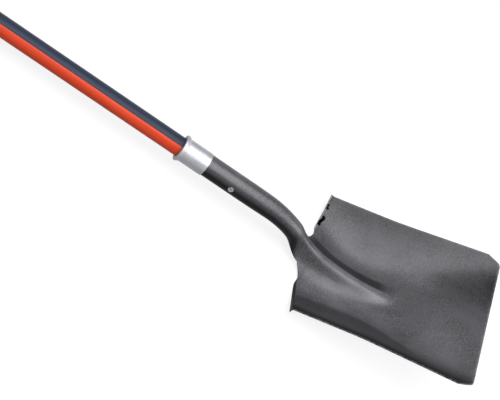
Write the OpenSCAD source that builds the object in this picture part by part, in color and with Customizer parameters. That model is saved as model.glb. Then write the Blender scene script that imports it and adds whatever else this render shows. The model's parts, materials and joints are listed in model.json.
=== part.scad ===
// Long handled square point shovel, lying face up where it comes to rest:
// on the back of its blade and on the end of its handle.
// Millimetres. +X towards the cutting edge, +Z up, the floor at Z = 0.
// The head is drawn flat, with the bottom of the blade in the plane Z = 0 and
// the heel at X = 0, and the whole shovel is then tipped into its resting pose.

/* [Blade] */
// Length of the blade from its heel to the cutting edge
blade_len = 302; // [250:1:340]
// Width over the side rims at the heel
blade_w = 238; // [200:1:260]
// How much wider the blade is where the front corners are cut
flare_w = 22; // [0:1:40]
// How far each cut front corner reaches in from the side
corner_in = 10.6; // [5:0.2:25]
// Length of each cut front corner along the blade
corner_cut = 24; // [15:1:50]
// Height of the side rims at the heel
rim_heel_h = 57; // [40:1:70]
// Height of the side rims at the cut corners
rim_front_h = 13.5; // [6:0.5:25]
// Height of the bottom of the blade at the heel
heel_rise = 30; // [10:1:36]
// Depth of the dish in the bottom
dish_depth = 10; // [0:1:16]
// Distance from the heel to the deepest place of the dish
dish_at = 125; // [90:1:160]
// Thickness of the steel sheet
sheet = 1.8; // [1.2:0.1:3]

/* [Side walls] */
// Distance from the middle to the fold of a side wall at its narrowest
fold_waist = 52; // [44:1:64]
// Distance from the heel where the folds start to spread forward
fold_at = 118; // [90:1:150]
// How fast the folds spread towards the cutting edge
fold_front = 0.33; // [0.1:0.01:0.4]
// How fast the folds spread towards the heel
fold_heel = 0.3; // [0:0.01:0.4]
// Rounding of the folds
fold_soft = 22; // [10:1:40]

/* [Ridge and step] */
// Length of the pressed ridge from the heel to its nose
ridge_len = 153; // [110:1:190]
// Height of the ridge over the bottom of the blade at the heel
ridge_h = 33; // [22:1:40]
// Half width of the ridge at the heel
ridge_w = 17; // [12:0.5:20]
// Half width of the ridge at its nose
nose_w = 14.5; // [8:0.5:18]
// How far the middle of the heel runs back into the neck
tongue = 10.5; // [6:0.5:16]
// How far the outer ends of the heel lie in front of the heel line
heel_out = 3.5; // [0:0.5:8]
// Slant of the heel line in plan
heel_slant = 0.16; // [0.05:0.01:0.25]
// Radius of the step rolled back along the heel
step_r = 4.6; // [3:0.1:8]
// Distance from the middle to the inner end of the step
step_from = 44; // [42:1:62]

/* [Neck and socket] */
// Angle between the handle and the bottom of the blade
lift_angle = 28.1; // [20:0.1:34]
// Height of the handle's centre line over the heel
lift_h = 89.3; // [82:0.1:98]
// Outer diameter of the neck
neck_od = 32.4; // [30:0.1:34]
// Bend radius of the neck's centre line
neck_bend_r = 150; // [130:1:170]
// Angle that the neck turns through
neck_turn = 24; // [20:0.5:28]
// Outer diameter of the socket
socket_od = 36.4; // [35.8:0.1:40]
// Distance along the handle's line from the heel to the neck's bend
bend_at = 95; // [90:1:105]
// Distance along the handle's line from the heel to the straight socket
socket_from = 124; // [116:1:134]
// Length of the straight socket
socket_len = 131; // [110:1:170]
// Width of the open seam along the back of the socket
seam_gap = 1.6; // [0.6:0.1:3]

/* [Collar and rivet] */
// Length of the steel collar
collar_len = 49; // [30:1:60]
// Wall of the collar
collar_wall = 1.1; // [0.8:0.1:1.6]
// Outward reach of the collar's rolled lip
lip_out = 3; // [2:0.5:5]
// Radius of the collar's rolled lip
lip_r = 2.4; // [1.8:0.1:3]
// How far the collar stands past the mouth of the socket
collar_past = 6; // [4:1:12]
// Distance from the bottom of the straight socket to the rivet
rivet_at = 37; // [25:1:70]
// Direction of the rivet, turned from the front of the socket
rivet_turn = 76; // [0:1:180]
// Diameter of the rivet's shank
rivet_d = 6; // [4:0.5:8]
// Diameter of the rivet's heads
rivet_head_d = 9.4; // [8:0.2:12]
// Height of the rivet's heads
rivet_head_h = 2; // [1.2:0.1:3]

/* [Handle] */
// Length of the handle, with the part inside the socket
handle_len = 1120; // [900:10:1300]
// Outer diameter of the handle
handle_d = 31.8; // [30:0.1:32.4]
// Thickness of the coloured outer jacket
jacket_t = 1.6; // [1:0.1:2.5]
// Bore of the glass fibre tube under the jacket
tube_bore = 20; // [14:0.5:23]
// Turn of the seam between the two colours, from the front of the handle
colour_turn = 34; // [0:1:180]
// Length of the wooden plug that stiffens the tube inside the socket
plug_len = 200; // [150:5:300]
// Thickness of the cap on the end of the handle
cap_t = 6; // [4:0.5:12]
// Length of the cap's spigot inside the tube
cap_spigot = 25; // [15:1:50]

/* [Fits] */
// Radial clearance of bonded and pressed pieces
bond_gap = 0.05; // [0.02:0.01:0.1]
// Gap between the handle's bottom end and the start of the straight socket
bottom_gap = 1; // [0.5:0.5:4]
// How far the thicker seat of the handle shows past the collar
seat_past = 1; // [0.5:0.5:3]

/* [Hidden] */
$fn = 64;
over = 1;

// Where the straight outline of a rim gives way to the cut corner
cut_x = blade_len - corner_cut;
flare_start = 0.42;
flare_from = flare_start * cut_x;
flare_rate = flare_w / 2 / (cut_x - flare_from);
flare_soft = 20;
edge_share = 1 - corner_in / (blade_w / 2 + flare_rate * (blade_len - flare_from));
corner_soft = 0.25;

// Where the folds turn, and how softly
fold_at_soft = 30;
heel_fold_share = 0.2;
heel_fold_at = heel_fold_share * blade_len;
heel_fold_soft = 40;

// Shape of the ridge: its fall towards the nose, how flat its top is, and how
// it leans back into the neck
nose_power = 1;
flat_heel = 2.8;
flat_nose = 3;
lean_to = 25;
lean_heel = 0.345;
lean_power = 1.5;

// Shape of the heel's middle and of the step
tongue_w = 31;
tongue_power = 7;
step_turn = 80;
step_blend = 20;
step_least = 0.1;
step_horn = 3;
horn_power = 12;

// Numbers of strips in the head's sheet: across the middle, across each side,
// along the blade, round the step, and along the neck
mid_n = 20;
side_n = 16;
long_n = 28;
step_n = 3;
swell_n = 6;
arc_n = 5;
lead_n = 2;
col_n = mid_n + 2 * side_n;
row_n = long_n + swell_n + arc_n + lead_n;
mid_half = 27;
mid_share = mid_half / (blade_w / 2);
side_close = 0.6;
row_power = 1.3;
probe = 0.01;

// The neck opens along its back, less and less towards the socket, and its
// last ring lies inside the socket's wall
open_from = 150;
open_to = 177;
shell_inset = 0.15;
shell_inner = 0.35;
lead_in = 3;

// A hinge of t at zero, rounded over s
function soft(t, s) = (t + sqrt(t * t + s * s)) / 2;
function ease(t) = let (c = min(1, max(0, t))) c * c * (3 - 2 * c);
function unit(v) = v / norm(v);

// The blade's surface
function half_w(x) = blade_w / 2 + flare_rate * soft(x - flare_from, flare_soft);
function rim_z(x) = rim_heel_h + (rim_front_h - rim_heel_h) * x / cut_x;
function bottom_z(x) =
    x < dish_at
    ? (heel_rise + dish_depth) * pow(1 - x / dish_at, 2) - dish_depth
    : dish_depth * (ease((x - dish_at) / (blade_len - dish_at)) - 1);
function fold_y(x) =
    fold_waist + fold_front * soft(x - fold_at, fold_at_soft) + fold_heel * soft(heel_fold_at - x, heel_fold_soft);
function wall_share(x, y) =
    (soft(y - fold_y(x), fold_soft) - soft(-fold_y(x), fold_soft))
    / (soft(half_w(x) - fold_y(x), fold_soft) - soft(-fold_y(x), fold_soft));
function wall_z(x, y) = (rim_z(x) - bottom_z(x)) * wall_share(x, y);
function ridge_top(x) = ridge_h * pow(max(0, 1 - x / ridge_len), nose_power);
function ridge_half(x) = ridge_w + (nose_w - ridge_w) * ease(x / ridge_len);
function ridge_flat(x) = flat_heel + (flat_nose - flat_heel) * ease(x / ridge_len);
function ridge_z(x, y) = ridge_top(x) / (1 + pow(y / ridge_half(x), ridge_flat(x)));
function lean(x) =
    lean_heel * pow(max(0, (lean_to - x) / (lean_to + tongue + heel_slant * blade_w / 2)), lean_power);

// The blade's outline, as places along it for a share v of the half width
function heel_x(y) =
    heel_out - heel_slant * (blade_w / 2 - y) - tongue / (1 + pow(y / tongue_w, tongue_power));
function front_x(v) = blade_len - corner_cut * soft((v - edge_share) / (1 - edge_share), corner_soft);

function blade_point(v, t) =
    let (
        a = abs(v),
        from = heel_x(a * blade_w / 2),
        x = from + (front_x(a) - from) * t,
        y = a * half_w(x),
        ridge = ridge_z(x, y)
    )
    [x + ridge * lean(x), v * half_w(x), bottom_z(x) + wall_z(x, y) + ridge];

// Columns run across the sheet, and their shares of the half width close up
// beside the ridge and at the rims
function side_share(f) = mid_share + (1 - mid_share) * (f - side_close * sin(360 * f) / (2 * PI));
function column(j) =
    j < side_n ? -side_share(1 - j / side_n)
    : j > side_n + mid_n ? side_share((j - side_n - mid_n) / side_n)
    : mid_share * (2 * (j - side_n) / mid_n - 1);
function mid_turn(j) = 2 * (j - side_n) / mid_n - 1;

// The handle's line, and the neck's arc that leaves it towards the blade
back_dir = [-cos(lift_angle), 0, sin(lift_angle)];
front_dir = [sin(lift_angle), 0, cos(lift_angle)];
function on_axis(u) = [0, 0, lift_h] + u * back_dir;
function turned(a) = [sin(lift_angle + a), 0, cos(lift_angle + a)];
function neck_centre(a) = on_axis(bend_at) - neck_bend_r * (front_dir - turned(a));

function tube_r(k) = neck_od / 2 + (socket_od / 2 - shell_inset - neck_od / 2) * ease(k);
function open_half(k) = open_from + (open_to - open_from) * ease(k);
function ring_point(c, n, r, a) = c + r * (cos(a) * n + [0, sin(a), 0]);

// Places of the neck's rings: k runs from the swell to the socket
function neck_point(i, j) =
    let (
        k = i / (arc_n + lead_n),
        a = neck_turn * (1 - i / arc_n),
        straight = (i - arc_n) / lead_n * (socket_from + lead_in - bend_at),
        c = i <= arc_n ? neck_centre(a) : on_axis(bend_at + straight),
        n = i <= arc_n ? turned(a) : front_dir
    )
    ring_point(c, n, tube_r(k), open_half(k) * mid_turn(j));

// The swell joins the heel to the neck's first ring
swell_pull = 0.35;
neck_end_dir = [-cos(lift_angle + neck_turn), 0, sin(lift_angle + neck_turn)];
function cubic(a, b, c, d, t) =
    pow(1 - t, 3) * a + 3 * t * pow(1 - t, 2) * b + 3 * t * t * (1 - t) * c + pow(t, 3) * d;
function swell_point(i, j) =
    let (
        heel = blade_point(column(j), 0),
        along = unit(heel - blade_point(column(j), probe)),
        ring = neck_point(0, j),
        pull = swell_pull * norm(ring - heel)
    )
    cubic(heel, heel + pull * along, ring - pull * neck_end_dir, ring, i / swell_n);

// The step rolls back and down along the outer parts of the heel
function step_share(y) = ease((y - step_from) / step_blend);
function step_point(i, j) =
    let (
        v = column(j),
        heel = blade_point(v, 0),
        along = unit(heel - blade_point(v, probe)),
        across = blade_point(v + probe, 0) - blade_point(v - probe, 0),
        down = unit(cross(along, across)),
        a = step_turn * step_share(abs(v) * blade_w / 2) * i / step_n,
        out = step_horn * pow(abs(v), horn_power) * sign(v) * sin(a)
    )
    heel + step_r * (sin(a) * along + (1 - cos(a)) * down) + [0, out, 0];

function is_mid(j) = j >= side_n && j <= side_n + mid_n;
function is_step(j) = step_share(abs(column(j)) * blade_w / 2) > step_least;
function row_share(i) = pow(1 - i / long_n, row_power);
function sheet_point(i, j) =
    i <= long_n ? blade_point(column(j), row_share(i))
    : !is_mid(j) ? step_point(min(i - long_n, step_n), j)
    : i <= long_n + swell_n ? swell_point(i - long_n, j)
    : neck_point(i - long_n - swell_n, j);

// Is there sheet between points (i, j) and (i + 1, j + 1)?
function is_sheet(i, j) =
    i >= 0 && j >= 0 && i < row_n && j < col_n
    && (i < long_n
        || (is_mid(j) && is_mid(j + 1))
        || (i < long_n + step_n && is_step(j) && is_step(j + 1) && !is_mid(j) && !is_mid(j + 1)));

face_pts = [for (i = [0:row_n]) [for (j = [0:col_n]) sheet_point(i, j)]];
function has_point(i, j) = is_sheet(i, j) || is_sheet(i - 1, j) || is_sheet(i, j - 1) || is_sheet(i - 1, j - 1);
function near_row(i, j, d) = has_point(i + d, j) ? i + d : i;
function near_col(i, j, d) = has_point(i, j + d) ? j + d : j;
function face_normal(i, j) =
    unit(cross(
        face_pts[near_row(i, j, -1)][j] - face_pts[near_row(i, j, 1)][j],
        face_pts[i][near_col(i, j, 1)] - face_pts[i][near_col(i, j, -1)]
    ));
function wall_at(i) = i < row_n - 1 ? sheet : sheet - shell_inset - shell_inner;
back_pts = [for (i = [0:row_n]) [for (j = [0:col_n])
    has_point(i, j) ? face_pts[i][j] - wall_at(i) * face_normal(i, j) : face_pts[i][j]]];

function front_id(i, j) = i * (col_n + 1) + j;
function back_id(i, j) = (row_n + 1) * (col_n + 1) + front_id(i, j);
function quad(a, b, c, d) = [[a, c, b], [a, d, c]];
function edge_wall(i0, j0, i1, j1) =
    quad(front_id(i0, j0), front_id(i1, j1), back_id(i1, j1), back_id(i0, j0));
sheet_faces = [for (i = [0:row_n - 1]) for (j = [0:col_n - 1]) if (is_sheet(i, j)) each concat(
    quad(front_id(i, j), front_id(i, j + 1), front_id(i + 1, j + 1), front_id(i + 1, j)),
    quad(back_id(i, j), back_id(i + 1, j), back_id(i + 1, j + 1), back_id(i, j + 1)),
    is_sheet(i - 1, j) ? [] : edge_wall(i, j + 1, i, j),
    is_sheet(i + 1, j) ? [] : edge_wall(i + 1, j, i + 1, j + 1),
    is_sheet(i, j - 1) ? [] : edge_wall(i, j, i + 1, j),
    is_sheet(i, j + 1) ? [] : edge_wall(i + 1, j + 1, i, j + 1)
)];

// Stations along the handle's line
socket_top = socket_from + socket_len;
handle_from = socket_from + bottom_gap;
handle_to = handle_from + handle_len;
cap_to = handle_to + cap_t;
collar_from = socket_top + collar_past - collar_len;
rivet_u = socket_from + rivet_at;
grip_from = socket_top + collar_past + seat_past;
socket_bore = socket_od - 2 * sheet;
seat_d = socket_bore - 2 * bond_gap;
tube_d = handle_d - 2 * jacket_t;

// The resting pose: the line under the cap and the head is the floor
cap_low = on_axis(cap_to) - handle_d / 2 * front_dir;
cap_high = on_axis(cap_to) + handle_d / 2 * front_dir;
head_pts = [for (i = [0:row_n]) for (j = [0:col_n]) if (has_point(i, j)) back_pts[i][j]];
rest_tip = max([for (p = head_pts) atan2(cap_low[2] - p[2], p[0] - cap_low[0])]);
function tipped(p) = [p[0] * cos(rest_tip) - p[2] * sin(rest_tip), p[1], p[0] * sin(rest_tip) + p[2] * cos(rest_tip)];
mid_x = (min(tipped(cap_low)[0], tipped(cap_high)[0]) + max([for (p = head_pts) tipped(p)[0]])) / 2;
floor_z = tipped(cap_low)[2];

module at_rest() {
    translate([-mid_x, 0, -floor_z]) rotate([0, -rest_tip, 0]) children();
}

// Places its children with Z along the handle's line, X to its front
module along_handle(u) {
    translate(on_axis(u)) rotate([0, lift_angle - 90, 0]) children();
}

// A pin or hole through the handle in the rivet's direction
module rivet_line(d, l) {
    rotate([0, 0, -rivet_turn]) rotate([0, 90, 0]) cylinder(d = d, h = l, center = true);
}

module socket_tube() {
    along_handle(socket_from) difference() {
        cylinder(d = socket_od, h = socket_len);
        translate([0, 0, -over]) cylinder(d = socket_bore, h = socket_len + 2 * over);
        translate([-socket_od, -seam_gap / 2, -over]) cube([socket_od, seam_gap, socket_len + 2 * over]);
        translate([0, 0, rivet_at]) rivet_line(rivet_d + 2 * bond_gap, 2 * socket_od);
    }
}

module shovel_head() {
    color([0.30, 0.30, 0.32]) at_rest() union() {
        polyhedron(points = concat([for (r = face_pts) each r], [for (r = back_pts) each r]), faces = sheet_faces);
        socket_tube();
    }
}

// Flares into a rolled lip that closes on to the handle
lip_from = 4 * lip_r;
lip_start = -35;
lip_steps = 6;
function lip_arc(r) =
    [for (k = [0:lip_steps]) let (a = lip_start + (90 - lip_start) * k / lip_steps) r * [cos(a), sin(a)]];
module socket_collar() {
    inner = socket_od / 2 + bond_gap;
    outer = inner + collar_wall;
    mouth = seat_d / 2 + bond_gap;
    centre = [outer + lip_out - lip_r, collar_len - lip_r];
    arc = [for (p = lip_arc(lip_r)) centre + p];
    arc_in = [for (p = lip_arc(lip_r - collar_wall)) centre + p];
    profile = concat(
        [[inner, 0], [outer, 0], [outer, collar_len - lip_from]],
        arc,
        [[mouth, collar_len], [mouth, collar_len - collar_wall]],
        [for (k = [lip_steps:-1:0]) arc_in[k]],
        [[inner, collar_len - lip_from]]
    );
    color([0.80, 0.80, 0.83]) at_rest() along_handle(collar_from) rotate_extrude() polygon(profile);
}

module rivet_head() {
    sphere_r = (pow(rivet_head_d / 2, 2) + pow(rivet_head_h, 2)) / (2 * rivet_head_h);
    intersection() {
        translate([0, 0, rivet_head_h - sphere_r]) sphere(r = sphere_r);
        cylinder(d = rivet_head_d, h = rivet_head_h);
    }
}

// Domed at one end and rolled over with a dimple at the other
module socket_rivet() {
    seat = socket_od / 2 + bond_gap;
    color([0.72, 0.72, 0.74]) at_rest() along_handle(rivet_u) rotate([0, 0, -rivet_turn]) rotate([0, 90, 0]) {
        difference() {
            union() {
                cylinder(d = rivet_d, h = 2 * seat, center = true);
                translate([0, 0, seat]) rivet_head();
                mirror([0, 0, 1]) translate([0, 0, seat]) rivet_head();
            }
            translate([0, 0, seat]) cylinder(d = rivet_d / 3, h = rivet_head_h + over);
        }
    }
}

module rivet_hole() {
    translate([0, 0, rivet_u - handle_from]) rivet_line(rivet_d + 2 * bond_gap, 2 * socket_od);
}

module handle_tube() {
    color([0.78, 0.74, 0.60]) at_rest() along_handle(handle_from) difference() {
        cylinder(d = tube_d, h = handle_len);
        translate([0, 0, -over]) cylinder(d = tube_bore, h = handle_len + 2 * over);
        rivet_hole();
    }
}

// One coloured half of the jacket; side is 1 or -1. It is thicker where it
// seats in the socket and the collar.
module half_jacket(side) {
    at_rest() along_handle(handle_from) difference() {
        union() {
            cylinder(d = handle_d, h = handle_len);
            cylinder(d = seat_d, h = grip_from - handle_from);
        }
        translate([0, 0, -over]) cylinder(d = tube_d + 2 * bond_gap, h = handle_len + 2 * over);
        rotate([0, 0, -colour_turn]) translate([-handle_d, side > 0 ? bond_gap - handle_d : -bond_gap, -over])
            cube([2 * handle_d, handle_d, handle_len + 2 * over]);
        rivet_hole();
    }
}

module handle_jacket_orange() {
    color([0.85, 0.25, 0.14]) half_jacket(-1);
}

module handle_jacket_navy() {
    color([0.17, 0.21, 0.28]) half_jacket(1);
}

module handle_plug() {
    color([0.80, 0.66, 0.45]) at_rest() along_handle(handle_from) difference() {
        cylinder(d = tube_bore - 2 * bond_gap, h = plug_len);
        rivet_hole();
    }
}

module handle_cap() {
    color([0.12, 0.12, 0.13]) at_rest() along_handle(handle_to) {
        cylinder(d = handle_d, h = cap_t);
        translate([0, 0, -cap_spigot]) cylinder(d = tube_bore - 2 * bond_gap, h = cap_spigot + over);
    }
}

shovel_head();
socket_collar();
socket_rivet();
handle_tube();
handle_jacket_orange();
handle_jacket_navy();
handle_plug();
handle_cap();
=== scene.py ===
"""Looks for the square shovel: smooth meshes over the CAD pieces, their materials, light and camera."""

import json
import math

import bmesh
import bpy
import numpy as np
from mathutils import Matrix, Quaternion, Vector


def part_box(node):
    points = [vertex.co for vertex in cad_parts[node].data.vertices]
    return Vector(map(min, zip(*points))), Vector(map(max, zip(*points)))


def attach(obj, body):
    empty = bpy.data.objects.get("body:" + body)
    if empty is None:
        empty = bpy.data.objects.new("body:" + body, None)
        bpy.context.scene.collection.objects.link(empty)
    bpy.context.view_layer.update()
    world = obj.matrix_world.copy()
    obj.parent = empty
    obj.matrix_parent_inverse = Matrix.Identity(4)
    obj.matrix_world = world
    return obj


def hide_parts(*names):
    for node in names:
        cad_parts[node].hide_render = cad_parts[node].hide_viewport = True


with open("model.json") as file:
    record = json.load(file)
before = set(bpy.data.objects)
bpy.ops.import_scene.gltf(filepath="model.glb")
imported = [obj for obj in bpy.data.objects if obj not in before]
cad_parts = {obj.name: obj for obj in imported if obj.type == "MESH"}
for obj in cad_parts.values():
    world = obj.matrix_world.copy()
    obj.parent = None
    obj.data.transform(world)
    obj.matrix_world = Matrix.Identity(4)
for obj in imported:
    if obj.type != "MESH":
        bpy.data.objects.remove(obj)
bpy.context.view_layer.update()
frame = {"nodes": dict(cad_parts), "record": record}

MM = 0.001
PI = math.pi

# Measures in millimetres and degrees, as the part's source has them: first the blade
BLADE_LEN, BLADE_W, FLARE_W, CORNER_IN, CORNER_CUT = 302, 238, 22, 10.6, 24
RIM_HEEL_H, RIM_FRONT_H = 57, 13.5
HEEL_RISE, DISH_DEPTH, DISH_AT, SHEET = 30, 10, 125, 1.8
FOLD_WAIST, FOLD_AT, FOLD_FRONT, FOLD_HEEL, FOLD_SOFT = 52, 118, 0.33, 0.3, 22
RIDGE_LEN, RIDGE_H, RIDGE_W, NOSE_W = 153, 33, 17, 14.5
TONGUE, HEEL_OUT, HEEL_SLANT = 10.5, 3.5, 0.16
STEP_R, STEP_FROM, STEP_TURN, STEP_BLEND, STEP_LEAST = 4.6, 44, 80, 20, 0.1
STEP_HORN, HORN_POWER = 3, 12
# The neck and the socket
LIFT_ANGLE, LIFT_H, NECK_OD, NECK_BEND_R, NECK_TURN = 28.1, 89.3, 32.4, 150, 24
SOCKET_OD, BEND_AT, SOCKET_FROM, SOCKET_LEN, LEAD_IN = 36.4, 95, 124, 131, 3
OPEN_FROM, OPEN_TO = 150, 177.5
# Values worked out for the blade, and the shape and softness of its bends
CUT_X = BLADE_LEN - CORNER_CUT
FLARE_START = 0.42
FLARE_FROM = FLARE_START * CUT_X
FLARE_RATE = FLARE_W / 2 / (CUT_X - FLARE_FROM)
FLARE_SOFT, CORNER_SOFT = 20, 0.25
EDGE_SHARE = 1 - CORNER_IN / (BLADE_W / 2 + FLARE_RATE * (BLADE_LEN - FLARE_FROM))
FOLD_AT_SOFT, HEEL_FOLD_SHARE, HEEL_FOLD_SOFT = 30, 0.2, 40
HEEL_FOLD_AT = HEEL_FOLD_SHARE * BLADE_LEN
NOSE_POWER, FLAT_HEEL, FLAT_NOSE = 1, 2.8, 3
LEAN_TO, LEAN_HEEL, LEAN_POWER = 25, 0.345, 1.5
TONGUE_W, TONGUE_POWER = 31, 7
# The collar, the rivet, the handle, the cap and the gaps between them
COLLAR_LEN, COLLAR_WALL, LIP_OUT, LIP_R, COLLAR_PAST = 49, 1.1, 3, 2.4, 6
COLLAR_EDGE, COLLAR_CHAMFER, MOUTH_EDGE = 0.45, 0.25, 0.5
LIP_FROM, LIP_START, FLARE_END, FLARE_POWER, FLARE_STEPS = 4 * LIP_R, -30, -35, 1.3, (0.08, 0.92, 9)
RIVET_AT, RIVET_TURN, RIVET_D, RIVET_HEAD_D, RIVET_HEAD_H = 37, 76, 6, 9.4, 2
HEAD_CHAMFER, HEAD_CHAMFER_H, HEAD_START, HEAD_STEPS = 0.25, 0.2, 0.97, 11
DIMPLE_R, DIMPLE_RIM, DIMPLE_EDGE, DIMPLE_FLOOR = RIVET_D / 6, 0.5, ((0.15, 0.2), (0, 0.5)), 0.1
HANDLE_LEN, HANDLE_D, JACKET_T, COLOUR_TURN = 1120, 31.8, 1.6, 34
CAP_T, CAP_SPIGOT, TUBE_BORE = 6, 25, 20
CAP_EDGE, CAP_CHAMFER, CAP_FLAT_IN, SPIGOT_EDGE = 1.2, 0.2, 4, 0.6
BOND_GAP, BOTTOM_GAP, SEAT_PAST = 0.05, 1, 1
# Steps round the turned pieces and the jackets, rings along the jackets, how their first rings lie, and
# how soft the seam between them is
COLLAR_STEPS, RIVET_STEPS, CAP_STEPS, JACKET_STEPS = 160, 48, 128, 57
SEAT_RINGS, SEAT_FIRST, GRIP_RINGS, GRIP_FIRST, GRIP_STEP = 10, 12, 46, 20, 0.2
SEAM_SOFT, SEAM_BACK = 0.18, 1.6
# Points closer than this many metres are joined, and edges sharper than this angle stay sharp
WELD, SHARP = 1e-7, math.radians(40)

# Strips in the smooth head: across the middle and each side, along the blade,
# round the step, and along the swell, the arc, its lead and the socket
MID_N, SIDE_N, LONG_N, STEP_N = 88, 60, 120, 10
SWELL_N, ARC_N, LEAD_N, SOCKET_N = 22, 24, 10, 28
COL_N = MID_N + 2 * SIDE_N
ROW_N = LONG_N + SWELL_N + ARC_N + LEAD_N + SOCKET_N
# Half the width of the middle strips, how much closer the side strips lie beside the middle and at the
# rims, and the strips along the blade at the heel, and the small step that finds the heel's directions
MID_HALF, SIDE_CLOSE, ROW_POWER, PROBE = 27, 0.6, 1.3, 0.01
MID_SHARE = MID_HALF / (BLADE_W / 2)
# How far the swell's curve follows its ends, and how much of the neck's widening lies in its arc
SWELL_PULL, ARC_SHARE = 0.35, 5 / 7

# The handle's line in the blade's frame, and stations along it
LIFT = math.radians(LIFT_ANGLE)
BACK_DIR = np.array([-math.cos(LIFT), 0, math.sin(LIFT)])
FRONT_DIR = np.array([math.sin(LIFT), 0, math.cos(LIFT)])
SOCKET_TOP = SOCKET_FROM + SOCKET_LEN
HANDLE_FROM = SOCKET_FROM + BOTTOM_GAP
HANDLE_TO = HANDLE_FROM + HANDLE_LEN
GRIP_FROM = SOCKET_TOP + COLLAR_PAST + SEAT_PAST
SEAT_R = SOCKET_OD / 2 - SHEET - BOND_GAP


def on_axis(u):
    """A place on the handle's line, u millimetres from the heel."""
    return np.array([0, 0, LIFT_H]) + u * BACK_DIR


def rest_pose():
    """How the blade's frame lies in the row frame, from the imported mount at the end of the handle."""
    mount = next(m for m in frame["record"]["mounts"] if m["name"] == "handle_end")
    tip = LIFT - math.asin(mount["axis"][2])
    turn = np.array([[math.cos(tip), 0, -math.sin(tip)], [0, 1, 0], [math.sin(tip), 0, math.cos(tip)]])
    return turn, np.array(mount["pos_m"]) / MM - turn @ on_axis(HANDLE_TO + CAP_T)


TURN, SHIFT = rest_pose()


def to_row(p):
    """From the blade's own frame in millimetres to the row frame in metres."""
    return (np.asarray(p, float) @ TURN.T + SHIFT) * MM


def to_blade(p):
    """From the row frame in metres to the blade's own frame in millimetres."""
    return (np.asarray(p, float) / MM - SHIFT) @ TURN


def soft(t, s):
    """t above 0 and 0 below it, with a bend of softness s."""
    return (t + np.sqrt(t * t + s * s)) / 2


def ease(t):
    """A smooth step from 0 to 1."""
    c = np.clip(t, 0, 1)
    return c * c * (3 - 2 * c)


def unit(v):
    """Vectors with the same directions and length 1."""
    return v / np.maximum(np.linalg.norm(v, axis=-1, keepdims=True), 1e-9)


def half_w(x):
    """Half the blade's width."""
    return BLADE_W / 2 + FLARE_RATE * soft(x - FLARE_FROM, FLARE_SOFT)


def bottom_z(x):
    """Height of the blade's middle: down from the heel to the dish, and up again to the edge."""
    behind = (HEEL_RISE + DISH_DEPTH) * (1 - x / DISH_AT) ** 2 - DISH_DEPTH
    ahead = DISH_DEPTH * (ease((x - DISH_AT) / (BLADE_LEN - DISH_AT)) - 1)
    return np.where(x < DISH_AT, behind, ahead)


def fold_y(x):
    """Where the sides fold up from the bottom."""
    ahead = FOLD_FRONT * soft(x - FOLD_AT, FOLD_AT_SOFT)
    return FOLD_WAIST + ahead + FOLD_HEEL * soft(HEEL_FOLD_AT - x, HEEL_FOLD_SOFT)


def wall_z(x, y):
    """How far the side stands above the bottom."""
    fold = fold_y(x)
    low = soft(-fold, FOLD_SOFT)
    share = (soft(y - fold, FOLD_SOFT) - low) / (soft(half_w(x) - fold, FOLD_SOFT) - low)
    rim = RIM_HEEL_H + (RIM_FRONT_H - RIM_HEEL_H) * x / CUT_X
    return (rim - bottom_z(x)) * share


def ridge_z(x, y):
    """Height of the pressed ridge, which dies out towards its nose."""
    top = RIDGE_H * np.maximum(0, 1 - x / RIDGE_LEN) ** NOSE_POWER
    half = RIDGE_W + (NOSE_W - RIDGE_W) * ease(x / RIDGE_LEN)
    power = FLAT_HEEL + (FLAT_NOSE - FLAT_HEEL) * ease(x / RIDGE_LEN)
    return top / (1 + (y / half) ** power)


def lean(x):
    """How far the ridge leans ahead for each millimetre of its height."""
    reach = LEAN_TO + TONGUE + HEEL_SLANT * BLADE_W / 2
    return LEAN_HEEL * np.maximum(0, (LEAN_TO - x) / reach) ** LEAN_POWER


def heel_x(y):
    """The heel's outline, with the tongue that runs into the neck."""
    return HEEL_OUT - HEEL_SLANT * (BLADE_W / 2 - y) - TONGUE / (1 + (y / TONGUE_W) ** TONGUE_POWER)


def front_x(v):
    """The front outline with its cut corners, for a share v of the half width."""
    return BLADE_LEN - CORNER_CUT * soft((v - EDGE_SHARE) / (1 - EDGE_SHARE), CORNER_SOFT)


def blade_point(v, t):
    """The blade's face in its own frame, for shares v of the half width and t of the length."""
    v, t = np.broadcast_arrays(np.asarray(v, float), np.asarray(t, float))
    a = np.abs(v)
    start = heel_x(a * BLADE_W / 2)
    x = start + (front_x(a) - start) * t
    side = a * half_w(x)
    ridge = ridge_z(x, side)
    return np.stack([x + ridge * lean(x), v * half_w(x), bottom_z(x) + wall_z(x, side) + ridge], -1)


def columns():
    """Shares of the half width from rim to rim, closer together beside the middle and at the rims."""
    f = np.linspace(0, 1, SIDE_N + 1)
    side = MID_SHARE + (1 - MID_SHARE) * (f - SIDE_CLOSE * np.sin(2 * PI * f) / (2 * PI))
    return np.concatenate([-side[:0:-1], MID_SHARE * np.linspace(-1, 1, MID_N + 1), side[1:]])


def turned(a):
    """The direction across the neck where it is turned by angle a."""
    return np.array([math.sin(LIFT + a), 0, math.cos(LIFT + a)])


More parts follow.
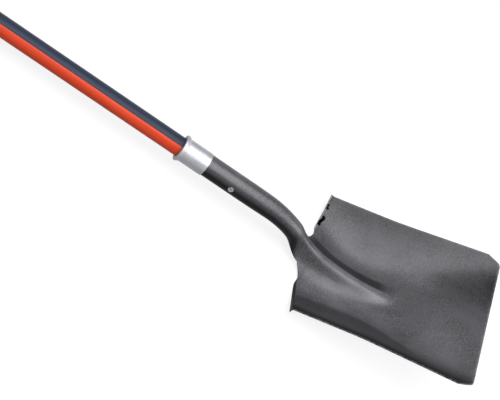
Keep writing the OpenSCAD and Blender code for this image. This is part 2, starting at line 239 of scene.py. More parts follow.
def ring(i, turn):
    """Ring i of the neck and socket, from the swell to the socket's mouth."""
    if i <= ARC_N:
        a = math.radians(NECK_TURN) * (1 - i / ARC_N)
        n = turned(a)
        c = on_axis(BEND_AT) - NECK_BEND_R * (FRONT_DIR - n)
        k = ARC_SHARE * i / ARC_N
    elif i <= ARC_N + LEAD_N:
        f = (i - ARC_N) / LEAD_N
        n, c = FRONT_DIR, on_axis(BEND_AT + f * (SOCKET_FROM + LEAD_IN - BEND_AT))
        k = ARC_SHARE + (1 - ARC_SHARE) * f
    else:
        f = (i - ARC_N - LEAD_N) / SOCKET_N
        start = SOCKET_FROM + LEAD_IN
        n, c = FRONT_DIR, on_axis(start + f * (SOCKET_FROM + SOCKET_LEN - start))
        k = 1
    r = NECK_OD / 2 + (SOCKET_OD - NECK_OD) / 2 * ease(k)
    angle = np.radians(OPEN_FROM + (OPEN_TO - OPEN_FROM) * ease(k)) * turn
    return c + r * (np.cos(angle)[:, None] * n + np.sin(angle)[:, None] * np.array([0, 1, 0]))


def head_grid():
    """Points of the head's face on a grid of rows and columns, and which of its cells are sheet."""
    v = columns()
    mid = slice(SIDE_N, SIDE_N + MID_N + 1)
    pts = np.zeros((ROW_N + 1, COL_N + 1, 3))
    t = (1 - np.arange(LONG_N + 1) / LONG_N) ** ROW_POWER
    pts[: LONG_N + 1] = blade_point(v[None, :], t[:, None])
    heel = blade_point(v, 0)
    along = unit(heel - blade_point(v, PROBE))
    across = blade_point(v + PROBE, 0) - blade_point(v - PROBE, 0)
    down = unit(np.cross(along, across))
    share = ease((np.abs(v) * BLADE_W / 2 - STEP_FROM) / STEP_BLEND)
    for i in range(1, STEP_N + 1):
        a = np.radians(STEP_TURN) * share * i / STEP_N
        roll = STEP_R * (np.sin(a)[:, None] * along + (1 - np.cos(a))[:, None] * down)
        roll[:, 1] += STEP_HORN * np.abs(v) ** HORN_POWER * np.sign(v) * np.sin(a)
        pts[LONG_N + i] = heel + roll
    turn = np.linspace(-1, 1, MID_N + 1)
    first = ring(0, turn)
    pull = SWELL_PULL * np.linalg.norm(first - heel[mid], axis=1)[:, None]
    start_angle = LIFT + math.radians(NECK_TURN)
    end_dir = np.array([-math.cos(start_angle), 0, math.sin(start_angle)])
    near, far = heel[mid] + pull * along[mid], first - pull * end_dir
    for i in range(1, SWELL_N + 1):
        s = i / SWELL_N
        r = 1 - s
        pts[LONG_N + i, mid] = r**3 * heel[mid] + 3 * s * r**2 * near + 3 * s * s * r * far + s**3 * first
    for i in range(1, ARC_N + LEAD_N + SOCKET_N + 1):
        pts[LONG_N + SWELL_N + i, mid] = ring(i, turn)
    cells = np.zeros((ROW_N, COL_N), bool)
    cells[:LONG_N] = True
    cells[:, SIDE_N : SIDE_N + MID_N] = True
    step = (share[:-1] > STEP_LEAST) & (share[1:] > STEP_LEAST)
    step[SIDE_N : SIDE_N + MID_N] = False
    cells[LONG_N : LONG_N + STEP_N, step] = True
    return pts, cells


def thick_sheet(pts, cells, thickness):
    """Gives a grid of face points its back and its edges. Returns vertices and quads."""
    rows, cols = cells.shape
    pad = np.pad(cells, 1)
    has = pad[:-1, :-1] | pad[1:, :-1] | pad[:-1, 1:] | pad[1:, 1:]
    has_pad = np.pad(has, 1)
    p = np.pad(pts, ((1, 1), (1, 1), (0, 0)))

    def near(di, dj):
        there = has_pad[1 + di : rows + 2 + di, 1 + dj : cols + 2 + dj]
        moved = p[1 + di : rows + 2 + di, 1 + dj : cols + 2 + dj]
        return np.where(there[..., None], moved, pts)

    normal = unit(np.cross(near(-1, 0) - near(1, 0), near(0, 1) - near(0, -1)))
    back = pts - thickness * normal
    ids = np.full(has.shape, -1)
    ids[has] = np.arange(has.sum())
    count = int(has.sum())
    verts = np.concatenate([pts[has], back[has]])
    quads = []
    for i in range(rows):
        for j in range(cols):
            if not cells[i, j]:
                continue
            a, b, c, d = ids[i, j], ids[i, j + 1], ids[i + 1, j + 1], ids[i + 1, j]
            quads.append((a, d, c, b))
            quads.append((a + count, b + count, c + count, d + count))
            for there, p0, p1 in (
                (pad[i, j + 1], b, a),
                (pad[i + 2, j + 1], d, c),
                (pad[i + 1, j], a, d),
                (pad[i + 1, j + 2], c, b),
            ):
                if not there:
                    quads.append((p0, p1, p1 + count, p0 + count))
    return verts, quads


def new_object(name, verts, faces):
    """A smooth shaded mesh in the scene."""
    mesh = bpy.data.meshes.new(name)
    mesh.from_pydata([tuple(map(float, v)) for v in verts], [], [tuple(map(int, f)) for f in faces])
    mesh.validate()
    mesh.polygons.foreach_set("use_smooth", [True] * len(mesh.polygons))
    obj = bpy.data.objects.new(name, mesh)
    bpy.context.scene.collection.objects.link(obj)
    return obj


def bevelled(obj, width, angle):
    """Rounds the edges that are sharper than the angle."""
    bevel = obj.modifiers.new("edges", "BEVEL")
    bevel.width, bevel.segments = width, 2
    bevel.limit_method, bevel.angle_limit = "ANGLE", angle
    dg = bpy.context.evaluated_depsgraph_get()
    obj.data = bpy.data.meshes.new_from_object(obj.evaluated_get(dg))
    obj.modifiers.clear()
    obj.data.polygons.foreach_set("use_smooth", [True] * len(obj.data.polygons))


def outward(obj, weld=0):
    """Turns all faces outward, after joining points that lie closer than weld metres."""
    bm = bmesh.new()
    bm.from_mesh(obj.data)
    if weld:
        bmesh.ops.remove_doubles(bm, verts=bm.verts, dist=weld)
        bmesh.ops.dissolve_degenerate(bm, edges=bm.edges, dist=weld)
    bmesh.ops.recalc_face_normals(bm, faces=bm.faces)
    bm.to_mesh(obj.data)
    bm.free()


def of_points(obj, what):
    """The places ("co") or the normals ("normal") of a mesh's points, one in each row."""
    values = np.zeros(len(obj.data.vertices) * 3)
    obj.data.vertices.foreach_get(what, values)
    return values.reshape(-1, 3)


def inside_box(obj, node):
    """Keeps the smooth surface from standing past its CAD node's box."""
    low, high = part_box(node)
    co = np.clip(of_points(obj, "co"), np.array(low), np.array(high))
    obj.data.vertices.foreach_set("co", co.ravel())
    obj.data.update()


def set_attribute(obj, name, values):
    """Keeps a value on each of a mesh's points, for its material."""
    layer = obj.data.attributes.new(name, "FLOAT", "POINT")
    layer.data.foreach_set("value", np.asarray(values, float))


def side_shade(obj, low, high):
    """Painted shade on a piece's sides by which way they face: 0 where the normal's height is over high, 1
    where it is under low.
    """
    return 1 - ease((of_points(obj, "normal")[:, 2] - low) / (high - low))


# Round pieces
def along_handle(points, u):
    """Places points given with Z along the handle's line and X to its front, at station u."""
    points = np.asarray(points, float)
    placed = (
        on_axis(u)
        + points[:, :1] * FRONT_DIR
        + points[:, 1:2] * np.array([0, 1, 0])
        + points[:, 2:3] * BACK_DIR
    )
    return to_row(placed)


def lathe(profile, steps):
    """Turns a closed outline of (radius, height) pairs round Z."""
    profile = np.asarray(profile, float)
    angle = np.linspace(0, 2 * PI, steps, endpoint=False)
    x, y = (np.outer(way, profile[:, 0]) for way in (np.cos(angle), np.sin(angle)))
    verts = np.stack([x, y, np.tile(profile[:, 1], (steps, 1))], -1).reshape(-1, 3)
    n = len(profile)
    faces = []
    for i in range(steps):
        for j in range(n):
            k = (j + 1) % n
            faces.append((i * n + j, ((i + 1) % steps) * n + j, ((i + 1) % steps) * n + k, i * n + k))
    return verts, faces


def arc(cx, cy, r, start, end, steps):
    """Points on an arc, from start to end in degrees."""
    a = np.radians(np.linspace(start, end, steps + 1))
    return [(cx + r * math.cos(t), cy + r * math.sin(t)) for t in a]


# Materials
def material(name):
    """A new material, its node tree and its shader."""
    mat = bpy.data.materials.new(name)
    mat.use_nodes = True
    tree = mat.node_tree
    return mat, tree, tree.nodes["Principled BSDF"]


def node(tree, kind, **inputs):
    """Adds a node; keywords with a capital set sockets, the others set properties."""
    n = tree.nodes.new(kind)
    for key, value in inputs.items():
        if key[0].isupper():
            n.inputs[key.replace("_", " ")].default_value = value
        else:
            setattr(n, key, value)
    return n


def coordinates(tree, scale=(1, 1, 1)):
    """The piece's own coordinates, stretched by scale."""
    place = node(tree, "ShaderNodeTexCoord")
    mapping = node(tree, "ShaderNodeMapping", Scale=scale)
    tree.links.new(place.outputs["Object"], mapping.inputs["Vector"])
    return mapping.outputs["Vector"]


def noise(tree, where, scale, detail, rough, distortion=0):
    """Noise that varies round 0.5, with about as many spots to a unit of its coordinates as scale says."""
    n = node(tree, "ShaderNodeTexNoise", Scale=scale, Detail=detail, Roughness=rough, Distortion=distortion)
    tree.links.new(where, n.inputs["Vector"])
    return n.outputs["Fac"]


def ramp(tree, value, stops):
    """A colour ramp; stops are (place, colour)."""
    n = node(tree, "ShaderNodeValToRGB")
    while len(n.color_ramp.elements) < len(stops):
        n.color_ramp.elements.new(0.5)
    for element, (place, colour) in zip(n.color_ramp.elements, stops):
        element.position = place
        element.color = (*colour, 1)
    tree.links.new(value, n.inputs["Fac"])
    return n.outputs["Color"]


def spread(tree, value, low, high, to_low, to_high):
    """Maps low..high on to to_low..to_high, and stops at its ends."""
    n = node(tree, "ShaderNodeMapRange", From_Min=low, From_Max=high, To_Min=to_low, To_Max=to_high)
    tree.links.new(value, n.inputs["Value"])
    return n.outputs["Result"]


def mixed(tree, factor, a, b):
    """Colour a where the factor is 0, colour b where it is 1."""
    n = node(tree, "ShaderNodeMix", data_type="RGBA")
    for socket, value in ((n.inputs[0], factor), (n.inputs[6], a), (n.inputs[7], b)):
        if isinstance(value, bpy.types.NodeSocket):
            tree.links.new(value, socket)
        else:
            socket.default_value = (*value, 1) if isinstance(value, tuple) else value
    return n.outputs[2]


def bumped(tree, shader, *layers):
    """Bump from (height, strength, distance) layers."""
    last = None
    for height, strength, distance in layers:
        b = node(tree, "ShaderNodeBump", Strength=strength, Distance=distance)
        tree.links.new(height, b.inputs["Height"])
        if last:
            tree.links.new(last, b.inputs["Normal"])
        last = b.outputs["Normal"]
    tree.links.new(last, shader.inputs["Normal"])


def attribute(tree, name):
    """A value kept on the mesh's points, which is 0 where a mesh has none."""
    return node(tree, "ShaderNodeAttribute", attribute_name=name).outputs["Fac"]


def times(tree, a, b):
    """The product of two sockets, or of a socket and a number."""
    n = node(tree, "ShaderNodeMath", operation="MULTIPLY")
    for socket, value in zip(n.inputs, (a, b)):
        if isinstance(value, bpy.types.NodeSocket):
            tree.links.new(value, socket)
        else:
            socket.default_value = value
    return n.outputs["Value"]


def black_marks(tree, places, size):
    """Ragged marks round the given places of the row frame: 1 inside, 0 outside."""
    where = coordinates(tree)
    ragged = noise(tree, where, scale=420, detail=3, rough=0.7)
    total = None
    for place in places:
        gap = node(tree, "ShaderNodeVectorMath", operation="DISTANCE")
        tree.links.new(where, gap.inputs[0])
        gap.inputs[1].default_value = place
        reach = node(tree, "ShaderNodeMath", operation="MULTIPLY_ADD")
        tree.links.new(ragged, reach.inputs[0])
        reach.inputs[1].default_value = size
        tree.links.new(gap.outputs["Value"], reach.inputs[2])
        mark = spread(tree, reach.outputs["Value"], MARK_OUT * size, MARK_IN * size, 0, 1)
        if total:
            both = node(tree, "ShaderNodeMath", operation="MAXIMUM")
            tree.links.new(total, both.inputs[0])
            tree.links.new(mark, both.inputs[1])
            mark = both.outputs["Value"]
        total = mark
    return total


def coating():
    """Dark grey powder coat: fine grain, clouds, wear along its edges, black marks, and painted shade and
    highlights.
    """
    mat, tree, shader = material("head_coating")
    where = coordinates(tree)
    fine = noise(tree, where, scale=420, detail=3, rough=0.6)
    grain = noise(tree, where, scale=240, detail=2, rough=0.55)
    cloud = noise(tree, where, scale=15, detail=4, rough=0.6, distortion=0.5)
    scuff = noise(tree, where, scale=150, detail=4, rough=0.7)
    dark, middle, light = (0.026, 0.026, 0.029), (0.059, 0.058, 0.064), (0.128, 0.126, 0.138)
    clouded, painted_shade_colour = (0.106, 0.105, 0.115), (0.008, 0.008, 0.009)
    bare_and_highlight, black_mark_colour = (0.42, 0.42, 0.43), (0.002, 0.002, 0.002)
    base = ramp(tree, fine, [(0.34, dark), (0.5, middle), (0.68, light)])
    base = mixed(tree, spread(tree, cloud, 0.38, 0.66, 0, 0.8), base, clouded)
    # Painted shade and painted highlights: the mesh's value darkens the colour towards near black where it
    # is high
    painted_shade = attribute(tree, "painted_shade")
    base = mixed(tree, times(tree, painted_shade, 0.9), base, painted_shade_colour)
    # Real wear along the rim and the cutting edge, and a painted highlight along the far step, both in a
    # bright bare colour
    wear_and_highlight_mask = times(tree, attribute(tree, "wear_and_highlight"), spread(tree, scuff, 0.36, 0.58, 0, 1))
    base = mixed(tree, wear_and_highlight_mask, base, bare_and_highlight)
    # Black marks: a near black colour with no gloss
    blackened = black_marks(tree, BLACK_MARKS, MARK_R)
    base = mixed(tree, blackened, base, black_mark_colour)
    tree.links.new(base, shader.inputs["Base Color"])
    tree.links.new(spread(tree, cloud, 0.3, 0.7, 0.42, 0.35), shader.inputs["Roughness"])
    # The gloss falls with the painted shade, and is gone on the black marks
    gloss = times(tree, spread(tree, painted_shade, 0, 1, 1, 0.04), spread(tree, blackened, 0, 1, 1, 0))
    tree.links.new(gloss, shader.inputs["Specular IOR Level"])
    shader.inputs["Specular Tint"].default_value = (0.96, 0.95, 1, 1)
    bumped(tree, shader, (grain, 0.3, 0.0006), (fine, 0.4, 0.0004))
    return mat


def steel(name, colour, roughness, stretch, bump=0.05):
    """Bright steel with drawn lines along the axis that stretch leaves long, darkened by painted shade
    where the mesh carries it.
    """
    mat, tree, shader = material(name)
    lines = noise(tree, coordinates(tree, stretch), scale=1, detail=4, rough=0.6)
    cloud = noise(tree, coordinates(tree), scale=60, detail=3, rough=0.5)
    base = mixed(tree, spread(tree, lines, 0.3, 0.7, 0, 1), tuple(0.88 * c for c in colour), colour)
    # Painted shade: the colour darkens to 0.3 of itself as the mesh's value rises
    base = mixed(tree, times(tree, attribute(tree, "painted_shade"), 0.8), base, tuple(0.3 * c for c in colour))
    tree.links.new(base, shader.inputs["Base Color"])
    rough = spread(tree, cloud, 0.3, 0.7, roughness - 0.05, roughness + 0.06)
    tree.links.new(rough, shader.inputs["Roughness"])
    shader.inputs["Metallic"].default_value = 1
    bumped(tree, shader, (lines, bump, 0.0002))
    return mat


def resin(name, colour, pale, roughness, gloss):
    """Coloured resin drawn along the handle: faint long streaks and a fine surface, a little darker and
    less glossy by painted shade where the mesh carries it.
    """
    mat, tree, shader = material(name)
    streaks = noise(tree, coordinates(tree, (6, 420, 420)), scale=1, detail=3, rough=0.6)
    fine = noise(tree, coordinates(tree), scale=500, detail=2, rough=0.5)
    base = mixed(tree, spread(tree, streaks, 0.35, 0.7, 0, 1), colour, pale)
    # Painted shade: a little darker colour and less gloss as the mesh's value rises
    painted_shade = attribute(tree, "painted_shade")
    base = mixed(tree, times(tree, painted_shade, 0.1), base, tuple(0.4 * c for c in colour))
    tree.links.new(base, shader.inputs["Base Color"])
    rough = spread(tree, fine, 0.3, 0.7, roughness - 0.04, roughness + 0.06)
    tree.links.new(rough, shader.inputs["Roughness"])
    tree.links.new(spread(tree, painted_shade, 0, 1, gloss, 0.3 * gloss), shader.inputs["Specular IOR Level"])
    bumped(tree, shader, (streaks, 0.06, 0.0002), (fine, 0.05, 0.0001))
    return mat


def moulded(name, colour, roughness):
    """Plain plastic with a fine moulded texture."""
    mat, tree, shader = material(name)
    fine = noise(tree, coordinates(tree), scale=900, detail=2, rough=0.5)
    base = mixed(tree, spread(tree, fine, 0.3, 0.7, 0, 1), colour, tuple(1.8 * c for c in colour))
    tree.links.new(base, shader.inputs["Base Color"])
    shader.inputs["Roughness"].default_value = roughness
    bumped(tree, shader, (fine, 0.2, 0.0002))
    return mat


def wood():
    """Bare wood with its grain along the handle."""
    mat, tree, shader = material("plug_wood")
    grain = noise(tree, coordinates(tree, (14, 260, 260)), scale=1, detail=5, rough=0.6, distortion=0.5)
    dark, middle, light = (0.36, 0.22, 0.11), (0.58, 0.40, 0.22), (0.70, 0.52, 0.32)
    base = ramp(tree, grain, [(0.3, dark), (0.55, middle), (0.75, light)])
    tree.links.new(base, shader.inputs["Base Color"])
    shader.inputs["Roughness"].default_value = 0.7
    bumped(tree, shader, (grain, 0.2, 0.0003))
    return mat


# Places of small black marks beside the turned step on the far side, in the row frame's metres, with a
# mark's size and the shares of it between which the mark's edge fades
MARK_R, MARK_IN, MARK_OUT = 0.0042, 1.15, 1.35
BLACK_MARKS = [
    (0.4925, 0.1045, 0.0150),
    (0.4935, 0.1000, 0.0135),
    (0.4950, 0.0835, 0.0080),
    (0.4952, 0.0795, 0.0070),
    (0.4938, 0.0765, 0.0062),
    (0.4925, 0.0740, 0.0050),
    (0.4922, 0.0690, 0.0045),
]

COATING = coating()
COLLAR_STEEL = steel("collar_steel", (0.66, 0.67, 0.715), roughness=0.52, stretch=(900, 40, 40))
RIVET_STEEL = steel("rivet_steel", (0.34, 0.34, 0.35), roughness=0.36, stretch=(500, 500, 500), bump=0.2)
ORANGE = resin("orange_jacket", (0.67, 0.060, 0.022), (0.76, 0.080, 0.032), roughness=0.38, gloss=0.28)
NAVY = resin("navy_jacket", (0.021, 0.028, 0.052), (0.031, 0.039, 0.068), roughness=0.38, gloss=0.22)
GLASS_FIBRE = resin("glass_fibre", (0.50, 0.44, 0.30), (0.66, 0.60, 0.44), roughness=0.5, gloss=0.5)
CAP = moulded("cap_plastic", (0.012, 0.012, 0.013), roughness=0.5)
WOOD = wood()


def dress(obj, mat, node_name):
    """Gives a new piece its material and its body, and hides the CAD node that it stands for."""
    obj.data.materials.clear()
    obj.data.materials.append(mat)
    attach(obj, "root")
    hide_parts(node_name)


# The head: how its edges are rounded, in millimetres and degrees
EDGE_ROUND, EDGE_ANGLE = 0.4, 55
# How worn the coat is, and over what distance the wear fades, along the rim and the cutting edge; and a
# painted highlight on the turned step of the far side, from a little past the heel and further out than its
# start
RIM_WEAR, RIM_WEAR_FADE, EDGE_WEAR_FADE = 0.35, 1.07, 1.5
STEP_HIGHLIGHT, STEP_HIGHLIGHT_FROM, STEP_HIGHLIGHT_FADE, STEP_HIGHLIGHT_IN, STEP_HIGHLIGHT_IN_FADE = 0.9, 1.8, 0.8, 12, 6
# Painted shade runs from 0, bright, to 1, dark. These are the face's, the tube's and the near step's.
FACE_SHADE, TUBE_SHADE, NEAR_STEP_SHADE = 0.35, 0.23, 0.89
# Where the steps' painted shade starts past the heel, and where the tube's starts and over what length it
# comes in
STEP_SHADE_FROM, TUBE_SHADE_FROM, TUBE_SHADE_FADE = 1, -15, 25
# Soft patches of painted shade and painted light on the face: place and reach, each along and across the
# blade, and change of painted shade
FACE_SHADE_PATCHES = [
    ((230, -60), (50, 55), -0.35),
    ((250, 52), (40, 35), 0.22),
    ((180, 48), (30, 14), -0.30),
    ((130, -8), (25, 12), -0.35),
    ((90, 110), (120, 45), 0.12),
]
# Painted shade along the cutting edge over a stretch across the blade, which comes and goes softly
EDGE_SHADE, EDGE_FADE = 0.6, 30
EDGE_FROM, EDGE_FROM_FADE, EDGE_TO, EDGE_TO_FADE = -10, 90, 130, 50
# Painted shade along the near rim, strong, and along the far rim, light, with the distances over which each
# fades
NEAR_RIM_SHADE, NEAR_RIM_FADE, FAR_RIM_SHADE, FAR_RIM_FADE = 1.05, 28, 0.2, 22
# Bands of light along the blade, beside the ridge and on its crest: middle and half width across the blade,
# then where each band starts and ends along it, with the length over which it does so
LIT_BANDS = [
    ((-46, 18), (-10, 20), (200, 60)),
    ((0, 6), (-10, 20), (140, 30)),
]
# Painted shade on the near wall from a little outside the fold, and from further outside it towards the
# front
WALL_SHADE, WALL_IN, WALL_FADE = 0.70, 4, 14
WALL_SPLAY, WALL_SPLAY_AT, WALL_SPLAY_SOFT = 0.12, 100, 30
# Painted shade in the crease beyond the crest of the ridge, wider at the heel
CREASE_SHADE, CREASE_FROM, CREASE_FROM_FADE = 0.85, 2.5, 4
CREASE_WIDTH, HEEL_CREASE_MORE, HEEL_CREASE_LEN, CREASE_SIDE_FADE = 28, 18, 45, 10
CREASE_END, CREASE_END_FADE = 150, 35
# Heights of the normal between which the tube's, the collar's and the jackets' sides take painted shade
TUBE_SIDES, COLLAR_SIDES, JACKET_SIDES = (0.2, 0.85), (0.1, 0.75), (0.4, 0.8)


def make_head():
    """The blade, the turned steps, the neck and the open socket as one thick sheet."""
    pts, cells = head_grid()
    verts, quads = thick_sheet(pts, cells, SHEET)
    obj = new_object("head_smooth", to_row(verts), quads)
    outward(obj)
    bevelled(obj, EDGE_ROUND * MM, math.radians(EDGE_ANGLE))
    inside_box(obj, "shovel_head")
    # Wear with a painted highlight on the far step, and painted shade, kept on the points for the coat
    wear_and_highlight, painted_shade = head_marks(obj)
    set_attribute(obj, "wear_and_highlight", wear_and_highlight)
    set_attribute(obj, "painted_shade", painted_shade)
    return obj


def bell(t, power=2):
    """1 where t is 0, falling softly to 0 on both sides."""
    return np.exp(-np.abs(t) ** power)


def face_shade(x, side, to_rim, to_edge):
    """The painted shade on the blade's face, lowered by painted light, at x along the blade and at a place
    on its side.
    """
    painted_shade = np.full(len(x), FACE_SHADE)
    for place, reach, change in FACE_SHADE_PATCHES:
        painted_shade += change * bell((x - place[0]) / reach[0]) * bell((side - place[1]) / reach[1])
    edge = EDGE_SHADE * np.exp(-np.maximum(0, to_edge) / EDGE_FADE)
    painted_shade += edge * ease((side - EDGE_FROM) / EDGE_FROM_FADE) * ease((EDGE_TO - side) / EDGE_TO_FADE)
    painted_shade += FAR_RIM_SHADE * bell(to_rim / FAR_RIM_FADE) * (side > 0)
    for (middle, half), (start, start_fade), (end, end_fade) in LIT_BANDS:
        along = ease((x - start) / start_fade) * ease((end - x) / end_fade)
        painted_shade *= 1 - bell((side - middle) / half, 4) * along
    wall_from = fold_y(x) + WALL_IN + WALL_SPLAY * soft(x - WALL_SPLAY_AT, WALL_SPLAY_SOFT)
    wall = WALL_SHADE * ease((-side - wall_from) / WALL_FADE + 0.5)
    rim = NEAR_RIM_SHADE * bell(to_rim / NEAR_RIM_FADE) * (side < 0)
    crease_to = CREASE_WIDTH + HEEL_CREASE_MORE * np.exp(-x / HEEL_CREASE_LEN)
    crease = CREASE_SHADE * ease((CREASE_END - x) / CREASE_END_FADE)
    crease *= ease((side - CREASE_FROM) / CREASE_FROM_FADE) * ease((crease_to - side) / CREASE_SIDE_FADE)
    return np.maximum.reduce([painted_shade, wall, rim, crease])


def head_marks(obj):
    """How worn the coat is, with a painted highlight on the far step, and its painted shade on the blade,
    the steps and the tube. The underside is plain.
    """
    x, side, _ = to_blade(of_points(obj, "co")).T
    y = np.abs(side)
    to_rim, to_edge = half_w(x) - y, front_x(np.minimum(y / half_w(x), 1)) - x
    past_heel = heel_x(y) - x
    border = np.exp(-np.maximum(0, np.minimum(to_rim / RIM_WEAR_FADE, to_edge / EDGE_WEAR_FADE)))
    # A painted highlight along the far step, from a little past the heel and further out than the step's
    # start
    step = ease((past_heel - STEP_HIGHLIGHT_FROM) / STEP_HIGHLIGHT_FADE) * (side > 0)
    step *= ease((y - STEP_FROM - STEP_HIGHLIGHT_IN) / STEP_HIGHLIGHT_IN_FADE)
    wear_and_highlight = np.where(past_heel < 0, RIM_WEAR * border, STEP_HIGHLIGHT * step)
    # Painted shade on the face's upper side; the underside keeps the plain level
    upward = of_points(obj, "normal")[:, 2] > 0
    face = np.where(upward, face_shade(x, side, to_rim, to_edge), FACE_SHADE)
    # Painted shade: the near step is dark, the far step takes the tube's level
    steps = np.where(side < 0, NEAR_STEP_SHADE, TUBE_SHADE)
    blade = np.where(past_heel < STEP_SHADE_FROM, face, steps)
    # Painted shade on the tube, darker on its sides by which way they face
    sides = TUBE_SHADE + (1 - TUBE_SHADE) * side_shade(obj, *TUBE_SIDES)
    tube = ease((past_heel - TUBE_SHADE_FROM) / TUBE_SHADE_FADE) * (y < STEP_FROM)
    return wear_and_highlight, np.clip(blade + tube * (sides - blade), 0, 1)


# The other pieces
def make_collar():
    """A tube over the socket's mouth that flares into a rolled lip and closes on to the handle."""
    inner = SOCKET_OD / 2 + BOND_GAP
    outer = inner + COLLAR_WALL
    mouth = SEAT_R + BOND_GAP
    cx, cy = outer + LIP_OUT - LIP_R, COLLAR_LEN - LIP_R
    start = COLLAR_LEN - LIP_FROM
    end = math.radians(FLARE_END)
    out, up = cx + LIP_R * math.cos(end) - outer, cy + LIP_R * math.sin(end) - start
    flare = [(outer + out * ease(t) ** FLARE_POWER, start + up * t) for t in np.linspace(*FLARE_STEPS)]
    profile = (
        [(inner, COLLAR_CHAMFER), (inner + COLLAR_CHAMFER, 0)]
        + arc(outer - COLLAR_EDGE, COLLAR_EDGE, COLLAR_EDGE, -90, 0, 4)
        + [(outer, start)]
        + flare
        + arc(cx, cy, LIP_R, LIP_START, 90, 16)
        + arc(mouth + MOUTH_EDGE, COLLAR_LEN - MOUTH_EDGE, MOUTH_EDGE, 90, 180, 4)
        + [(mouth, COLLAR_LEN - COLLAR_WALL)]
        + arc(cx, cy, LIP_R - COLLAR_WALL, 90, LIP_START, 10)
        + [(inner, start)]
    )
    verts, faces = lathe(profile, COLLAR_STEPS)
    obj = new_object("collar_smooth", along_handle(verts, SOCKET_TOP + COLLAR_PAST - COLLAR_LEN), faces)
    outward(obj)
    # Painted shade on the collar's sides, by which way they face
    set_attribute(obj, "painted_shade", side_shade(obj, *COLLAR_SIDES))
    return obj


def make_rivet():
    """A shank with a domed head at each end, one of them dimpled."""
    seat = SOCKET_OD / 2 + BOND_GAP
    r, h = RIVET_HEAD_D / 2, RIVET_HEAD_H
    sphere = (r * r + h * h) / (2 * h)
    span = math.degrees(math.asin(r / sphere))

    def head(sign, dimple):
        low = DIMPLE_R if dimple else 0
        flat = [(r - HEAD_CHAMFER, seat), (r, seat + HEAD_CHAMFER_H)]
        last = math.degrees(math.asin((low + DIMPLE_RIM) / sphere))
        dome = arc(0, seat + h - sphere, sphere, 90 - HEAD_START * span, 90 - last, HEAD_STEPS)
        end = [(0, seat + h)]
        if dimple:
            end = [(low + a, seat + h - b) for a, b in DIMPLE_EDGE]
            end += [(low, seat + DIMPLE_FLOOR), (0, seat)]
        return [(a, sign * b) for a, b in flat + dome + end]

    top = head(1, True)
    bottom = head(-1, False)[::-1]
    profile = bottom + [(RIVET_D / 2, -seat), (RIVET_D / 2, seat)] + top
    verts, faces = lathe(profile, RIVET_STEPS)
    t = math.radians(RIVET_TURN)
    placed = np.stack([
        verts[:, 2] * math.cos(t) + verts[:, 1] * math.sin(t),
        verts[:, 1] * math.cos(t) - verts[:, 2] * math.sin(t),
        -verts[:, 0],
    ], -1)
    obj = new_object("rivet_smooth", along_handle(placed, SOCKET_FROM + RIVET_AT), faces)
    outward(obj, WELD)
    return obj


def half_ring(outer, inner):
    """Outline of half a ring: its seams lie off the middle by the bond's gap, softened on the outside."""
    start, end = math.asin(BOND_GAP / outer), math.asin(BOND_GAP / inner)
    a = np.linspace(start, PI - start, JACKET_STEPS)[2:-2]
    b = np.linspace(PI - end, end, JACKET_STEPS // 2)
    seam_x = outer * math.cos(start) - SEAM_BACK * SEAM_SOFT
    soft_y = BOND_GAP + SEAM_SOFT
    soft_x = math.sqrt(outer**2 - soft_y**2)
    return np.array(
        [(seam_x, BOND_GAP), (soft_x, soft_y)]
        + [(outer * math.cos(t), outer * math.sin(t)) for t in a]
        + [(-soft_x, soft_y), (-seam_x, BOND_GAP)]
        + [(inner * math.cos(t), inner * math.sin(t)) for t in b]
    )


def make_jacket(name, side):
    """One coloured half of the jacket, narrower inside the collar; side is 1 or -1."""
    inner = HANDLE_D / 2 - JACKET_T + BOND_GAP
    seat = [HANDLE_FROM, *np.linspace(HANDLE_FROM + SEAT_FIRST, GRIP_FROM, SEAT_RINGS)]
    grip = [GRIP_FROM + GRIP_STEP, *np.linspace(GRIP_FROM + GRIP_FIRST, HANDLE_TO, GRIP_RINGS)]
    turn = math.radians(-COLOUR_TURN)
    spin = np.array([[math.cos(turn), math.sin(turn)], [-math.sin(turn), math.cos(turn)]])
    verts = []
    for outer, stations in ((SEAT_R, seat), (HANDLE_D / 2, grip)):
        loop = (half_ring(outer, inner) * (1, side)) @ spin
        verts += [np.column_stack([loop, np.full(len(loop), u)]) for u in stations]
    n, rings = len(loop), len(verts)
    faces = [
        (i * n + j, i * n + (j + 1) % n, (i + 1) * n + (j + 1) % n, (i + 1) * n + j)
        for i in range(rings - 1)
        for j in range(n)
    ]
    faces += [tuple(range(n)), tuple(range((rings - 1) * n, rings * n))]
    obj = new_object(name, along_handle(np.concatenate(verts), 0), faces)
    outward(obj)
    obj.data.set_sharp_from_angle(angle=SHARP)
    # Painted shade on the jacket's sides, by which way they face
    set_attribute(obj, "painted_shade", side_shade(obj, *JACKET_SIDES))
    return obj


def make_cap():
    """A round cap with a softened edge, whose spigot fills the end of the tube."""
    r, spigot = HANDLE_D / 2, TUBE_BORE / 2 - BOND_GAP
    profile = (
        [(0, -CAP_SPIGOT), (spigot - SPIGOT_EDGE, -CAP_SPIGOT), (spigot, SPIGOT_EDGE - CAP_SPIGOT)]
        + [(spigot, 0), (r - CAP_CHAMFER, 0), (r, CAP_CHAMFER)]
        + arc(r - CAP_EDGE, CAP_T - CAP_EDGE, CAP_EDGE, 0, 90, 8)
        + [(r - CAP_FLAT_IN, CAP_T), (0, CAP_T)]
    )
    verts, faces = lathe(profile, CAP_STEPS)
    obj = new_object("cap_smooth", along_handle(verts, HANDLE_TO), faces)
    outward(obj, WELD)
    obj.data.set_sharp_from_angle(angle=SHARP)
    return obj


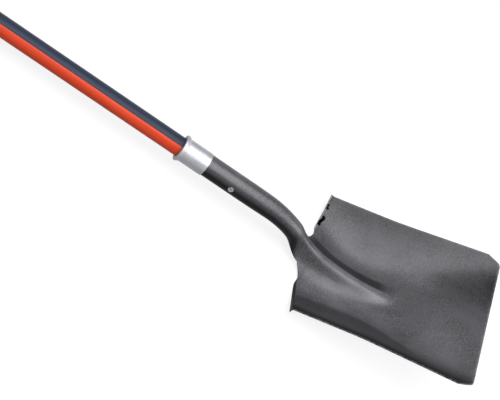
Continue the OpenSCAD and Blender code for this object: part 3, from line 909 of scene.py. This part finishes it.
dress(make_head(), COATING, "shovel_head")
dress(make_collar(), COLLAR_STEEL, "socket_collar")
dress(make_rivet(), RIVET_STEEL, "socket_rivet")
dress(make_jacket("jacket_orange_smooth", -1), ORANGE, "handle_jacket_orange")
dress(make_jacket("jacket_navy_smooth", 1), NAVY, "handle_jacket_navy")
dress(make_cap(), CAP, "handle_cap")
for name, mat in (("handle_tube", GLASS_FIBRE), ("handle_plug", WOOD)):
    obj = frame["nodes"][name]
    obj.data.materials.clear()
    obj.data.materials.append(mat)


# Floor, light and camera. The floor's half width and height in metres, and how much lamp light it shows
FLOOR_HALF, FLOOR_Z, PAPER = 30, -0.0004, 0.17
# The world is white at the horizon, and dims to the ceiling between two heights of the unit direction
CEILING, HORIZON = 0.2, (0.08, 0.2)
# Lamps: place, target and size in metres, and brightness
LAMPS = {
    "over": ((0.40, -0.42, 2.2), (0.35, -0.05, 0), (2.6, 2.6), 3.5),
    "front": ((2.2, -0.1, 1.15), (0.3, 0, 0.05), (1.3, 1.0), 4.5),
    "back": ((-1.05, 1.3, 1.7), (0.5, 0, 0.05), (0.9, 0.9), 0.6),
}
# The photo's camera, fitted to the outline of the blade, the socket and the handle
SENSOR, LENS, CLIP_NEAR, CLIP_FAR = 36, 82.06, 0.05, 100
CAMERA_PLACE = (-0.13612, -1.08411, 1.37463)
CAMERA_TURN = (0.903959, 0.276156, -0.223505, 0.237993)


def white_where_seen(tree, strength):
    """A strength that only camera, glossy and transmission rays see."""
    path = node(tree, "ShaderNodeLightPath")
    seen = path.outputs["Is Camera Ray"]
    for ray in ("Is Glossy Ray", "Is Transmission Ray"):
        either = node(tree, "ShaderNodeMath", operation="MAXIMUM")
        tree.links.new(seen, either.inputs[0])
        tree.links.new(path.outputs[ray], either.inputs[1])
        seen = either.outputs[0]
    return times(tree, seen, strength)


def make_floor():
    """White paper that glows by what the lamps leave, so that it renders white and keeps a shadow."""
    corners = [(x * FLOOR_HALF, y * FLOOR_HALF, FLOOR_Z) for x, y in ((-1, -1), (1, -1), (1, 1), (-1, 1))]
    floor = new_object("floor", corners, [(0, 1, 2, 3)])
    mat, tree, shader = material("floor_paper")
    shader.inputs["Base Color"].default_value = (PAPER, PAPER, PAPER, 1)
    shader.inputs["Roughness"].default_value = 1
    shader.inputs["Specular IOR Level"].default_value = 0
    glow = node(tree, "ShaderNodeEmission", Color=(1, 1, 1, 1))
    tree.links.new(white_where_seen(tree, 1 - PAPER), glow.inputs["Strength"])
    both = node(tree, "ShaderNodeAddShader")
    tree.links.new(shader.outputs["BSDF"], both.inputs[0])
    tree.links.new(glow.outputs["Emission"], both.inputs[1])
    tree.links.new(both.outputs[0], tree.nodes["Material Output"].inputs["Surface"])
    floor.data.materials.append(mat)


def make_world():
    """A pale band round the horizon under a dim ceiling."""
    world = bpy.data.worlds.new("studio")
    bpy.context.scene.world = world
    world.use_nodes = True
    tree = world.node_tree
    way = node(tree, "ShaderNodeTexCoord").outputs["Generated"]
    parts = node(tree, "ShaderNodeSeparateXYZ")
    tree.links.new(way, parts.inputs[0])
    height = spread(tree, parts.outputs["Z"], *HORIZON, 1, CEILING)
    tree.links.new(height, tree.nodes["Background"].inputs["Strength"])
    tree.nodes["Background"].inputs["Color"].default_value = (1, 1, 1, 1)


def softbox(name, place, target, size, radiance):
    """A rectangular lamp whose face has the given brightness."""
    lamp = bpy.data.lights.new(name, "AREA")
    lamp.shape = "RECTANGLE"
    lamp.size, lamp.size_y = size
    lamp.energy = radiance * PI * size[0] * size[1]
    obj = bpy.data.objects.new(name, lamp)
    bpy.context.scene.collection.objects.link(obj)
    obj.location = place
    obj.rotation_euler = (Vector(target) - Vector(place)).to_track_quat("-Z", "Y").to_euler()


def make_camera():
    """The camera at the photo's place."""
    cam = bpy.data.cameras.new("camera")
    cam.sensor_width, cam.lens = SENSOR, LENS
    cam.clip_start, cam.clip_end = CLIP_NEAR, CLIP_FAR
    obj = bpy.data.objects.new("camera", cam)
    bpy.context.scene.collection.objects.link(obj)
    obj.rotation_mode = "QUATERNION"
    obj.location = CAMERA_PLACE
    obj.rotation_quaternion = Quaternion(CAMERA_TURN)
    bpy.context.scene.camera = obj


make_floor()
make_world()
for name, values in LAMPS.items():
    softbox(name, *values)
make_camera()

bpy.context.scene.view_settings.view_transform = "Standard"
